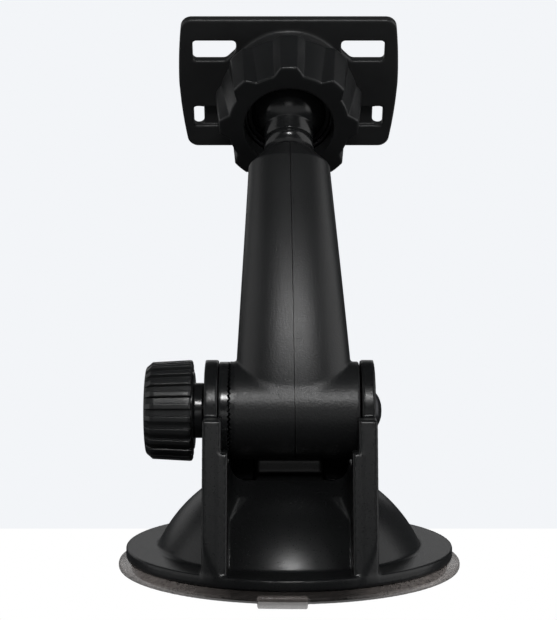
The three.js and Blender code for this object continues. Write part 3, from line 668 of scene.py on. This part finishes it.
def halve(name, source, side, node):
    """One half of the arm, cut flat on the seam."""
    half = source.copy()
    half.data = source.data.copy()
    half.name = name
    bpy.context.scene.collection.objects.link(half)
    lean = math.atan2(BARREL_MIDDLE, np.linalg.norm(BALL - PIVOT))
    chord = Vector(BALL - PIVOT).normalized()
    normal = Vector((1, 0, 0)) * math.cos(lean) + chord * math.sin(lean)
    at = Vector((BARREL_MIDDLE, PIVOT[1], PIVOT[2])) * MM + normal * side * 0.05 * MM
    work = bmesh.new()
    work.from_mesh(half.data)
    everything = work.verts[:] + work.edges[:] + work.faces[:]
    cutting = bmesh.ops.bisect_plane(work, geom=everything, plane_co=at, plane_no=normal * -side,
                                     clear_outer=True, dist=1e-7)
    edges = [g for g in cutting["geom_cut"] if isinstance(g, bmesh.types.BMEdge)]
    cap = bmesh.ops.triangle_fill(work, edges=edges, use_beauty=True, use_dissolve=False)
    for face in cap["geom"]:
        if isinstance(face, bmesh.types.BMFace):
            face.smooth = False
    for edge in edges:
        edge.smooth = False
    bmesh.ops.recalc_face_normals(work, faces=work.faces)
    work.to_mesh(half.data)
    work.free()
    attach(half, "arm")
    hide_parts(node)
    return half


def make_arm():
    low = (BARREL_LEFT, PIVOT[1] - 9.6, PIVOT[2] - 9.6)
    high = (BARREL_RIGHT, 21, 86)
    points, faces = skin(arm_field, low, high, 0.36)
    whole = add_mesh("arm_whole", points, faces, "arm", "black_arm", (), ARM)
    halve("arm_half_left", whole, -1, "arm_shell_left")
    halve("arm_half_right", whole, 1, "arm_shell_right")
    bpy.data.objects.remove(whole)


def make_stud():
    start = math.asin(NECK_RADIUS / BALL_RADIUS)
    ball = [(BALL_RADIUS * math.sin(a), BALL_RADIUS * math.cos(a)) for a in np.linspace(math.pi, start, 48)]
    ball[0] = (0, -BALL_RADIUS)
    stud = [(NECK_RADIUS, STEP_AT - 0.15), (NECK_STEP, STEP_AT - 0.02), (NECK_STEP + 0.03, STEP_AT + 0.15),
            (NECK_FOOT, SHOULDER - 0.8), (3.5, SHOULDER - 0.8), (3.5, 24.7), (0, 24.7)]
    points, faces = turned(ball + stud, 128)
    turn = Matrix.Rotation(math.pi - ARM_END_LEAN, 3, "X")
    points = points @ np.array(turn).T + BALL
    outward(add_mesh("ball_turned", points, faces, "arm", "gloss_black", ["ball_stud"], GLOSS))


# ---- Head ---------------------------------------------------------------------------------------
HEAD_TURN = np.array(Matrix.Rotation(math.asin(HEAD_AXIS[2]) - math.pi / 2, 3, "X"))


def head_place(points):
    """From the head's own frame, +Z towards the plate and -Y upwards, to the model's."""
    return points @ HEAD_TURN.T + BALL


def collar_field(points):
    x, y, z = split(points)
    reach = np.hypot(x, y)
    angle = np.arctan2(y, x) + math.pi / 2
    pitch = 2 * math.pi / LOBES
    off = np.abs((angle + pitch / 2) % pitch - pitch / 2) / (pitch / 2)
    groove = np.clip((off - 0.29) / 0.31, 0, 1)
    share = np.clip((z - COLLAR_FRONT) / (COLLAR_BACK - COLLAR_FRONT), 0, 1)
    depth = GROOVE_FRONT + (GROOVE_BACK - GROOVE_FRONT) * share
    outer = LOBE_FRONT + (LOBE_BACK - LOBE_FRONT) * share - depth * groove
    solid = rounded((reach - outer) * 0.85, slab(z, COLLAR_FRONT, COLLAR_BACK), 0.4)
    mouth = np.interp(z, [COLLAR_FRONT - 1, COLLAR_FRONT, -5.4, -2.9, 6], [9.3, 9.2, 9.2, 11.1, 11.1])
    return cut(solid, reach - mouth, 0.25)


def plate_outline(x, y):
    """Distance to the plate's outline: bowed sides, straight top and bottom, rounded corners."""
    half = PLATE_WAIST + 0.1 - (PLATE_WAIST - PLATE_CORNER) * (y / PLATE_TOP) ** 2 - 0.03 * np.maximum(y, 0)
    return rounded(np.abs(x) - half, slab(y, PLATE_TOP, PLATE_BOTTOM), 2.0)


# Each pair of windows: near and far x, low and high y, corner radius, clip of the lower inner corner.
WINDOWS = ((11.1, 20.3, -10, -5.2, 0.9, 2.2), (18.3, 20.5, 6.2, 11, 0.8, 0.6))


def plate_field(points):
    x, y, z = split(points)
    reach = np.hypot(x, y)
    plate = rounded(plate_outline(x, y), slab(z, PLATE_REAR, PLATE_FRONT), 0.4)
    stem = rounded(reach - np.interp(z, [-4.6, -2.4, 3.2, 3.6, 9], [9.25, 10.8, 10.8, 12.3, 12.3]),
                   slab(z, SOCKET_FRONT, PLATE_REAR + 0.5), 0.3)
    solid = join(plate, stem, 0.8)
    centre = np.sqrt(reach**2 + z**2)
    solid = cut(solid, centre - SOCKET, 0.3)
    solid = cut(solid, np.maximum(reach - SOCKET_MOUTH, z + 4.2), 0.2)
    side = np.abs(x)
    for near, far, low, high, corner, clip in WINDOWS:
        window = rounded(slab(side, near, far), slab(y, low, high), corner)
        window = common(window, (clip - (side - near) - (high - y)) / math.sqrt(2), 0.5)
        solid = cut(solid, np.maximum(window, slab(z, 7, 13)), 0.4)
    recess = rounded(slab(side, 14.8, 20.5), slab(y, 6.2, 11), 0.8)
    return cut(solid, np.maximum(recess, slab(z, 7, PLATE_REAR + 1)), 0.3)


def make_head():
    add_field("collar_ring", collar_field, (-15.8, -15.8, COLLAR_FRONT), (15.8, 15.8, COLLAR_BACK), 0.24,
              "collar", "collar_black", ["collar_nut"], COLLAR, head_place)
    add_field("plate_moulding", plate_field, (-23.5, -15.1, -4.7), (23.5, 16.4, 10.9), 0.27,
              "head", "black_shell", ["claw_plate"], PLATE_LOOK, head_place)
    outer, inner = LINER_OUTER, LINER_INNER
    heights = np.linspace(-4.0, -2.2, 8)
    ring = [(math.sqrt(outer**2 - h * h), h) for h in heights]
    ring += [(math.sqrt(inner**2 - h * h), h) for h in heights[::-1]]
    points, faces = turned(ring + ring[:1])
    outward(add_mesh("seat_liner", head_place(points), faces, "ball_tilt_ring", "liner_black",
                     ["ball_seat_ring"], LINER))
    angles = np.radians(np.linspace(0, 82, 28))
    bowl = [(inner * math.sin(a), inner * math.cos(a)) for a in angles]
    bowl += [(outer * math.sin(a), outer * math.cos(a)) for a in angles[::-1]]
    points, faces = turned(bowl)
    outward(add_mesh("cup_liner", head_place(points), faces, "ball_yaw_cup", "liner_black",
                     ["ball_cup_pad"], LINER))


# ---- Lock lever ---------------------------------------------------------------------------------
def lever_field(points):
    """The lever as drawn locked, about its pin at the origin."""
    x, y, z = split(points)
    side = np.abs(x)
    centre_z = DOME_CENTRE_Z - (PIN[2] + LIFT)
    reach = np.hypot(y, z - centre_z)
    angle = np.arctan2(y, z - centre_z)
    inside, outside = DOME_RADIUS + 0.8, DOME_RADIUS + 3.4
    low, high = math.radians(18), math.radians(60)
    span = (np.abs(angle - (low + high) / 2) - (high - low) / 2) * reach
    handle = rounded(np.maximum(slab(reach, inside, outside), span), side - LEVER_HALF, 0.5)
    tip_y, tip_z = (outside - 0.9) * math.sin(high), centre_z + (outside - 0.9) * math.cos(high)
    tip = rounded(np.hypot(y - tip_y, z - tip_z) - 1.9, side - LEVER_HALF, 0.5)
    corners = [(0, -3.4)]
    corners += [(r * math.sin(math.radians(a)), centre_z + r * math.cos(math.radians(a)))
                for r, a in ((inside, 22), (outside, 22), (outside, 17))]
    cheek = polygon(y, z, corners + [(0, 3.8)])
    turn = (-math.pi / 2 - np.arctan2(z, y)) % (2 * math.pi)
    closing = np.clip((turn - math.radians(210)) / math.radians(45), 0, 1)
    rise = 4 + LIFT * np.maximum(1 - turn / SWING, closing)
    cheek = join(cheek, (np.hypot(y, z) - rise) * 0.9, 0.3)
    arm = rounded(cheek, slab(side, CHEEK_INNER, CHEEK_OUTER), 0.4)
    solid = join(join(handle, tip, 0.8), arm, 0.6)
    return cut(solid, np.hypot(y, z) - 1.65, 0.2)


def lever_place(points):
    turn = np.array(Matrix.Rotation(SWING, 3, "X"))
    return points @ turn.T + np.array([0, 0, PIN[2]])


def make_lever():
    add_field("lever_moulding", lever_field, (-12.3, -6.5, -14), (12.3, 31.5, 7), 0.3, "lever", "black_shell",
              ["lock_lever"], SHELL, lever_place)


# ---- Carried-over pieces ------------------------------------------------------------------------
def dress(node, material, degrees=35):
    """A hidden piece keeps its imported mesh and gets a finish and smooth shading."""
    piece = frame["nodes"][node]
    piece.data.materials.clear()
    piece.data.materials.append(material)
    piece.data.shade_smooth()
    piece.data.set_sharp_from_angle(angle=math.radians(degrees))


def make_inner_pieces():
    for node, material in (("pull_stem", NATURAL), ("pivot_bush", NATURAL), ("lever_pin", STEEL),
                           ("stem_spring", STEEL), ("ratchet_spring", STEEL), ("knob_nut", BRASS)):
        dress(node, material)


# ---- Stage --------------------------------------------------------------------------------------
def flat_light(name, colour):
    material = bpy.data.materials.new(name)
    material.use_nodes = True
    nodes, links = material.node_tree.nodes, material.node_tree.links
    nodes.clear()
    glow = nodes.new("ShaderNodeEmission")
    glow.inputs["Color"].default_value = (*colour, 1)
    output = nodes.new("ShaderNodeOutputMaterial")
    links.new(glow.outputs["Emission"], output.inputs["Surface"])
    return material


def stage_sheet(name, corners, material):
    mesh = bpy.data.meshes.new(name)
    mesh.from_pydata(corners, [], [tuple(range(len(corners)))])
    mesh.materials.append(material)
    sheet = bpy.data.objects.new(name, mesh)
    bpy.context.scene.collection.objects.link(sheet)
    sheet.visible_glossy = False
    sheet.visible_diffuse = False
    return sheet


def area_light(name, place, target, size, power):
    data = bpy.data.lights.new(name, "AREA")
    data.shape = "RECTANGLE"
    data.size, data.size_y = size
    data.energy = power
    lamp = bpy.data.objects.new(name, data)
    lamp.location = place
    lamp.rotation_euler = (Vector(target) - Vector(place)).to_track_quat("-Z", "Y").to_euler()
    bpy.context.scene.collection.objects.link(lamp)
    return lamp


AIM = (0, 0, 0.045)
LIGHTS = (
    ("key", (0.02, -0.80, 0.665), AIM, (0.2, 0.14), 3.5),
    ("left", (-0.9, -0.1, 0.3), AIM, (1.1, 1.1), 2.4),
    ("right", (0.9, -0.15, 0.3), AIM, (1.2, 1.2), 4.6),
    ("behind", (-0.2, 0.9, 0.30), AIM, (1.4, 0.3), 0.6),
    ("low", (0, -0.9, 0.06), (0, 0.02, 0.09), (0.3, 0.12), 0.12),
    ("bounce", (0, -0.45, -0.002), (0, -0.45, 1), (1.2, 0.6), 0.8),
)
FLOOR_LEVEL, FLOOR_EDGE, SHADE_LEVEL, SHADE_RADIUS = -0.0004, 0.036, -0.0002, 0.0315


def make_stage():
    white = flat_light("floor_white", (1.0, 1.0, 1.0))
    pale = flat_light("backdrop_pale", (0.896, 0.913, 0.939))
    low, edge = FLOOR_LEVEL, FLOOR_EDGE
    stage_sheet("floor_near", [(-3, -3, low), (3, -3, low), (3, edge, low), (-3, edge, low)], white)
    stage_sheet("floor_far", [(-6, edge, low), (6, edge, low), (6, 6, low), (-6, 6, low)], pale)
    shade = flat_light("floor_shade", (0.012, 0.011, 0.011))
    turns = [2 * math.pi * k / 96 for k in range(96)]
    rim = [(SHADE_RADIUS * math.cos(a), SHADE_RADIUS * math.sin(a), SHADE_LEVEL) for a in turns]
    stage_sheet("floor_shade", rim, shade)
    stage_sheet("backdrop", [(-12, 6, -1), (12, 6, -1), (12, 6, 8), (-12, 6, 8)], pale)
    world = bpy.data.worlds.new("studio")
    world.use_nodes = True
    world.node_tree.nodes["Background"].inputs["Color"].default_value = (0.9, 0.95, 1.0, 1)
    world.node_tree.nodes["Background"].inputs["Strength"].default_value = 0.04
    bpy.context.scene.world = world
    for name, place, target, size, power in LIGHTS:
        area_light(name, place, target, size, power)
    bpy.context.scene.view_settings.view_transform = "Standard"


LENS, CAMERA_AT, CAMERA_DOWN = 94.65, (-0.00213, -0.3228, 0.07265), 3.87


def make_camera():
    data = bpy.data.cameras.new("camera")
    data.lens, data.sensor_width = LENS, 36
    data.clip_start, data.clip_end = 0.01, 50
    camera = bpy.data.objects.new("camera", data)
    camera.location = CAMERA_AT
    camera.rotation_euler = (math.radians(90 - CAMERA_DOWN), 0, 0)
    bpy.context.scene.collection.objects.link(camera)
    bpy.context.scene.camera = camera


make_camera()
make_pad()
make_base()
make_pivot()
make_knob()
make_arm()
make_stud()
make_head()
make_lever()
make_inner_pieces()
make_stage()
